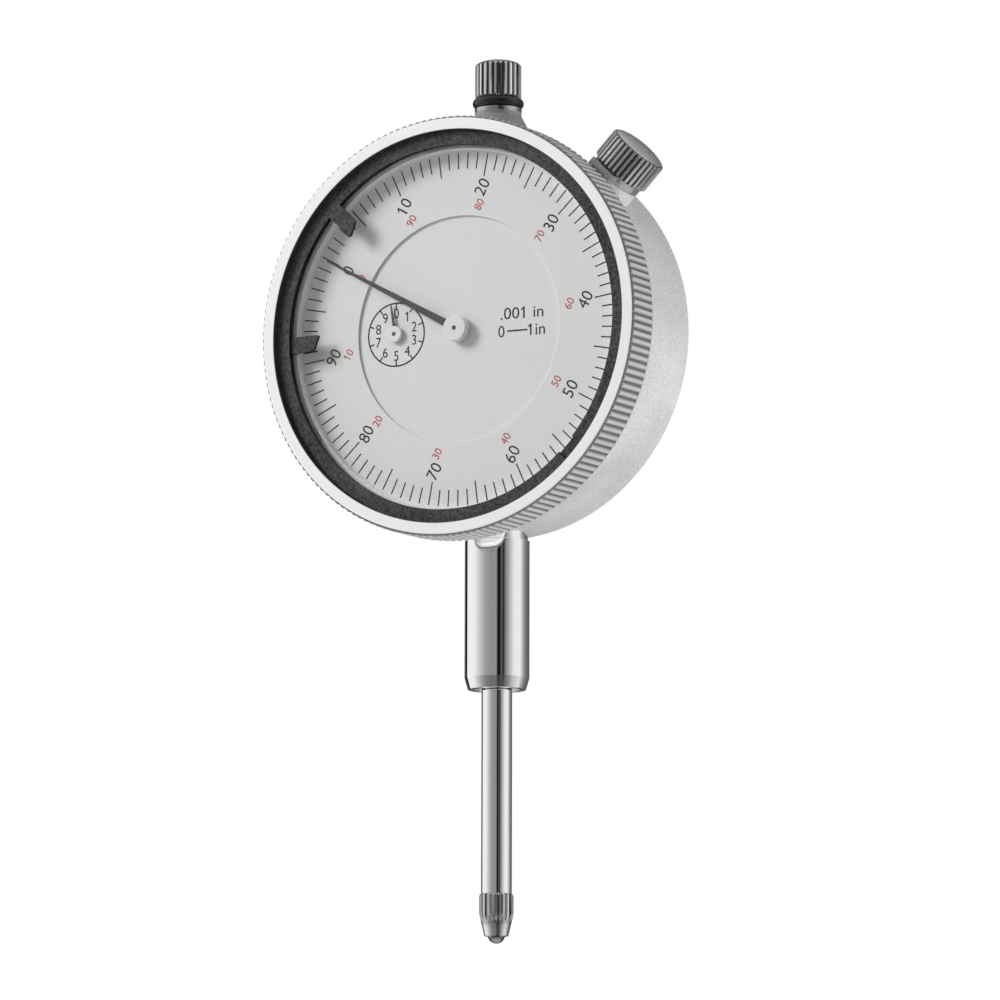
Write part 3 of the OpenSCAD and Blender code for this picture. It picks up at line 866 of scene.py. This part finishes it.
def stem_tube():
    """Polished tube with a chamfered tip, a seat for its bush and a spigot in the case."""
    profile = rounded(
        [
            (STEM_BUSH_R, STEM_TIP),
            (STEM_TIP_R, STEM_TIP),
            (STEM_R, STEM_CHAMFER_TOP),
            (STEM_R, SPIGOT_LOW),
            (SPIGOT_R, SPIGOT_LOW),
            (SPIGOT_R, SPIGOT_TOP),
            (STEM_BORE_R, SPIGOT_TOP),
            (STEM_BORE_R, STEM_BUSH_TOP),
            (STEM_BUSH_R, STEM_BUSH_TOP),
        ],
        STEM_EDGE,
        3,
    )
    bm = bmesh.new()
    revolve(bm, profile, 256, STEM)
    piece("stem_tube", bm, "case", chrome, ("stem",), 12)


# ---------- Contact point ----------


def contact_point_body():
    """Fluted grip that narrows to a cone, with a socket for the ball."""
    profile = [
        (0.0, 0.0),
        (POINT_R - 0.33, 0.0),
        (POINT_R - 0.11, -0.08),
        (POINT_R, -0.3),
        (POINT_R, POINT_FLUTES_LOW),
    ]
    for step in range(1, POINT_CONE_STEPS + 1):
        t = step / POINT_CONE_STEPS
        radius = POINT_R + (POINT_END_R - POINT_R) * t
        height = POINT_FLUTES_LOW + (POINT_END - POINT_FLUTES_LOW) * t
        profile.append((radius, height))
    profile += [
        (POINT_END_R - 0.1, POINT_END),
        (SOCKET_R, POINT_END + 0.15),
        (SOCKET_R, SOCKET_FLOOR),
        (0.0, SOCKET_FLOOR),
    ]
    profile = [(r, h + POINT_TOP) for r, h in profile]
    bm = bmesh.new()
    outline = flutes(POINT_FLUTES, POINT_R + 0.03, POINT_FLUTE_DEPTH, POINT_LAND)
    revolve(bm, profile, POINT_FLUTES * 16, STEM, outline, False)
    piece("contact_point_body", bm, "spindle", point_metal, ("contact_point",), 11)


# ---------- Printing ----------

ZERO_TURN = math.radians(ZERO_ANGLE)
ZERO_PLACE = math.radians(90 + ZERO_ANGLE)
SCALE_SQUEEZE = 0.95


def scale_ticks():
    """A hundred marks round the scale ring, each fifth one longer."""
    bm = bmesh.new()
    for k in range(MARK_COUNT):
        angle = ZERO_PLACE - math.radians(360 / MARK_COUNT * k)
        inner = LONG_MARK_R if k % 5 == 0 else SHORT_MARK_R
        bar(bm, inner, MARK_OUTER_R, angle, MARK_WIDTH, SCALE_FACE)
    piece("scale_ticks", bm, "bezel", black_print_and_shade, (), 30)


def ring_of_numbers(name, numbers, radius, size, material):
    """Numbers spaced evenly round the scale ring, clockwise from its zero."""
    bm = bmesh.new()
    for k, number in enumerate(numbers):
        angle = ZERO_PLACE - math.radians(360 / NUMBER_COUNT * k)
        centre = on_circle(radius, angle)
        lettering(bm, str(number), size, centre, ZERO_TURN, SCALE_FACE, SCALE_SQUEEZE)
    piece(name, bm, "bezel", material, (), 30)


def counter_scale():
    """Printed circle of the revolution counter, with its marks and numbers."""
    inner, outer = SUBDIAL_RING
    low = INNER_FACE - INK
    high = INNER_FACE + INK
    bm = bmesh.new()
    revolve(bm, [(inner, low), (outer, low), (outer, high), (inner, high)], 128, COUNTER)
    for k in range(NUMBER_COUNT):
        angle = math.radians(90 - 360 / NUMBER_COUNT * k)
        bar(bm, *SUBDIAL_MARK, angle, SUBDIAL_MARK_WIDTH, INNER_FACE, SUBDIAL_CENTRE)
        centre = on_circle(SUBDIAL_NUMBER_R, angle, SUBDIAL_CENTRE)
        lettering(bm, str(k), SUBDIAL_NUMBER_SIZE, centre, 0.0, INNER_FACE, 0.9)
    piece("counter_scale", bm, "case", black_print_and_shade, (), 30)


def dial_words():
    """The value of one mark and the range, as plain characters and a dash."""
    bm = bmesh.new()
    lettering(bm, ".001 in", WORD_SIZE, (10.39, WORD_HEIGHT), 0.0, INNER_FACE, 1.1)
    lettering(bm, "0", WORD_SIZE, (7.0, RANGE_HEIGHT), 0.0, INNER_FACE, 0.95)
    bar(bm, 0.0, DASH_LENGTH, 0.0, DASH_WIDTH, INNER_FACE, (DASH_START, RANGE_HEIGHT))
    lettering(bm, "1in", WORD_SIZE, (12.95, RANGE_HEIGHT), 0.0, INNER_FACE, 1.05)
    piece("dial_words", bm, "case", black_print_and_shade, (), 30)


# ---------- Painted shade at the arbor ends in the hubs ---


def hub_gap(name, inner, outer, low, high, matrix, body):
    """Painted shade: a black ring round an arbor's end, standing in for the shadowed gap where it sits in
    a hub.
    """
    bm = bmesh.new()
    revolve(bm, [(inner, low), (outer, low), (outer, high), (inner, high)], 48, matrix)
    piece(name, bm, body, black_print_and_shade, (), 30)


bezel_ring()
clamp_knob_head()
lifting_knob_head()
stem_tube()
contact_point_body()
scale_ticks()
black_numbers = [10 * k for k in range(NUMBER_COUNT)]
red_numbers = [(100 - number) % 100 for number in black_numbers]
ring_of_numbers("scale_numbers", black_numbers, NUMBER_R, NUMBER_SIZE, black_print_and_shade)
ring_of_numbers("reverse_numbers", red_numbers, REVERSE_R, REVERSE_SIZE, print_red)
counter_scale()
dial_words()
# Painted shade in the gaps round the two hub pins.
hub_gap("main_hub_gap_shade", 0.17, 0.33, 1.2, 1.32, DIAL, "center_gear")
hub_gap("counter_hub_gap_shade", 0.16, 0.32, 0.35, 0.46, COUNTER, "counter")


# ---------- Floor, light and camera ----------

FLOOR_HALF = 650
FLOOR_DROP = -650
FLOOR_THICKNESS = 6


def studio_floor():
    """Plain pale floor, far below the object."""
    corners = [(-1, -1), (1, -1), (1, 1), (-1, 1)]
    corners = [(x * FLOOR_HALF, y * FLOOR_HALF) for x, y in corners]
    bm = bmesh.new()
    slab(bm, corners, FLOOR_DROP - FLOOR_THICKNESS, FLOOR_DROP, Matrix.Scale(MM, 4))
    mesh = bpy.data.meshes.new("floor")
    bm.to_mesh(mesh)
    bm.free()
    material = satin(
        "floor",
        low=grey(0.82),
        high=grey(0.86),
        rough=(0.6, 0.7),
        grain=60.0,
        bump=(0.05, 0.1),
        metallic=0.0,
    )
    mesh.materials.append(material)
    floor = bpy.data.objects.new("floor", mesh)
    bpy.context.scene.collection.objects.link(floor)


def display(value):
    """Light level that shows as this fraction of white on the screen."""
    return value**2.2


# Overhead and underneath, by the upward part of a direction
OVERHEAD_BAND = (0.45, 0.85)
OVERHEAD_LEVEL = 0.6
UNDERNEATH_BAND = (-0.25, -0.42)
UNDERNEATH_SHARE = 0.6
UNDERNEATH_LEVEL = 0.08

# Soft studio surround by compass angle, where 0 is in front of the dial and 90 at its right side
SURROUND = [
    (-180, 0.35),
    (-150, 0.36),
    (-121, 0.36),
    (-118, 0.06),
    (-105, 0.06),
    (-101, 0.95),
    (-62, 0.95),
    (-48, 0.88),
    (-32, 0.75),
    (-14, 0.62),
    (4, 0.56),
    (26, 0.56),
    (30, 0.1),
    (40, 0.12),
    (43, 0.36),
    (46, 0.36),
    (49, 0.16),
    (53, 0.2),
    (57, 0.45),
    (66, 0.6),
    (78, 0.76),
    (92, 0.92),
    (118, 0.94),
    (135, 0.66),
    (150, 0.46),
    (180, 0.35),
]


def compass_tone(nodes, links, split):
    """Surround's colour by compass angle."""
    flip = nodes.new("ShaderNodeMath")
    flip.operation = "MULTIPLY"
    flip.inputs[1].default_value = -1.0
    links.new(split.outputs["Y"], flip.inputs[0])
    compass = nodes.new("ShaderNodeMath")
    compass.operation = "ARCTAN2"
    links.new(split.outputs["X"], compass.inputs[0])
    links.new(flip.outputs[0], compass.inputs[1])
    fraction = spread(nodes, links, compass.outputs[0], 0.0, 1.0, (-math.pi, math.pi))
    ramp = nodes.new("ShaderNodeValToRGB")
    links.new(fraction, ramp.inputs["Fac"])
    stops = ramp.color_ramp.elements
    while len(stops) > 1:
        stops.remove(stops[-1])
    stops[0].position = 0.0
    stops[0].color = (*grey(display(SURROUND[0][1])), 1)
    for azimuth, level in SURROUND[1:]:
        stop = stops.new((azimuth + 180) / 360)
        stop.color = (*grey(display(level)), 1)
    return ramp.outputs["Color"]


def toned(nodes, links, colour, factor, level):
    """Blends a colour towards a grey, by a factor."""
    mix = nodes.new("ShaderNodeMix")
    mix.data_type = "RGBA"
    mix.inputs["B"].default_value = (*grey(level), 1)
    links.new(factor, mix.inputs["Factor"])
    links.new(colour, mix.inputs["A"])
    return mix.outputs["Result"]


def studio_world():
    """Soft surround: a tone for each compass angle, one grey overhead and, in reflections, a dark one
    underneath. The background itself is plain white."""
    world = bpy.data.worlds.new("studio")
    bpy.context.scene.world = world
    world.use_nodes = True
    nodes = world.node_tree.nodes
    links = world.node_tree.links
    coords = nodes.new("ShaderNodeTexCoord")
    split = nodes.new("ShaderNodeSeparateXYZ")
    links.new(coords.outputs["Generated"], split.inputs[0])
    rays = nodes.new("ShaderNodeLightPath")

    colour = compass_tone(nodes, links, split)
    rise = spread(nodes, links, split.outputs["Z"], 0.0, 1.0, OVERHEAD_BAND)
    colour = toned(nodes, links, colour, rise, OVERHEAD_LEVEL)
    sink = spread(nodes, links, split.outputs["Z"], 0.0, UNDERNEATH_SHARE, UNDERNEATH_BAND)
    below = nodes.new("ShaderNodeMath")
    below.operation = "MULTIPLY"
    links.new(sink, below.inputs[0])
    links.new(rays.outputs["Is Glossy Ray"], below.inputs[1])
    colour = toned(nodes, links, colour, below.outputs[0], UNDERNEATH_LEVEL)

    surround = nodes["Background"]
    links.new(colour, surround.inputs["Color"])
    white = nodes.new("ShaderNodeBackground")
    white.inputs["Color"].default_value = (1, 1, 1, 1)
    chooser = nodes.new("ShaderNodeMixShader")
    links.new(rays.outputs["Is Camera Ray"], chooser.inputs["Fac"])
    links.new(surround.outputs[0], chooser.inputs[1])
    links.new(white.outputs[0], chooser.inputs[2])
    links.new(chooser.outputs[0], nodes["World Output"].inputs["Surface"])


def toward(azimuth, elevation):
    """Unit vector from the object: 0 degrees is in front of the dial, 90 at its right side."""
    a = math.radians(azimuth)
    e = math.radians(elevation)
    return Vector((math.sin(a) * math.cos(e), -math.cos(a) * math.cos(e), math.sin(e)))


def area_light(name, azimuth, elevation, distance, size, power):
    """Round soft light that faces the dial's centre and doesn't show in reflections."""
    data = bpy.data.lights.new(name, "AREA")
    data.shape = "DISK"
    data.size = size
    data.energy = power
    lamp = bpy.data.objects.new(name, data)
    direction = toward(azimuth, elevation)
    lamp.location = DIAL_CENTRE * MM + direction * distance
    lamp.rotation_euler = direction.to_track_quat("Z", "Y").to_euler()
    lamp.visible_glossy = False
    bpy.context.scene.collection.objects.link(lamp)


VIEW_AZIMUTH = 28.51
VIEW_ELEVATION = -7.86
VIEW_ROLL = math.radians(0.13)
VIEW_DISTANCE = 916.9
VIEW_RIGHT = 6.11
VIEW_DOWN = 24.98
LENS = 226.1


def view_camera():
    """Camera below and to the right of the dial, level but for a slight roll."""
    back = toward(VIEW_AZIMUTH, VIEW_ELEVATION)
    azimuth = math.radians(VIEW_AZIMUTH)
    level = Vector((math.cos(azimuth), math.sin(azimuth), 0))
    upright = back.cross(level)
    right = level * math.cos(VIEW_ROLL) + upright * math.sin(VIEW_ROLL)
    up = upright * math.cos(VIEW_ROLL) - level * math.sin(VIEW_ROLL)
    eye = DIAL_CENTRE + back * VIEW_DISTANCE + right * VIEW_RIGHT - up * VIEW_DOWN
    data = bpy.data.cameras.new("camera")
    data.sensor_width = 36.0
    data.lens = LENS
    data.clip_start = 0.05
    data.clip_end = 20.0
    camera = bpy.data.objects.new("camera", data)
    pose = Matrix.Identity(4)
    for column, axis in enumerate((right, up, back)):
        for row in range(3):
            pose[row][column] = axis[row]
    for row in range(3):
        pose[row][3] = eye[row] * MM
    camera.matrix_world = pose
    bpy.context.scene.collection.objects.link(camera)
    bpy.context.scene.camera = camera


studio_floor()
studio_world()
area_light("key light", azimuth=-46, elevation=28, distance=0.7, size=0.3, power=4.1)
area_light("fill light", azimuth=118, elevation=-24, distance=0.7, size=0.5, power=5.8)
area_light("back light", azimuth=190, elevation=28, distance=0.8, size=0.5, power=3.5)
view_camera()
bpy.context.scene.view_settings.view_transform = "Standard"
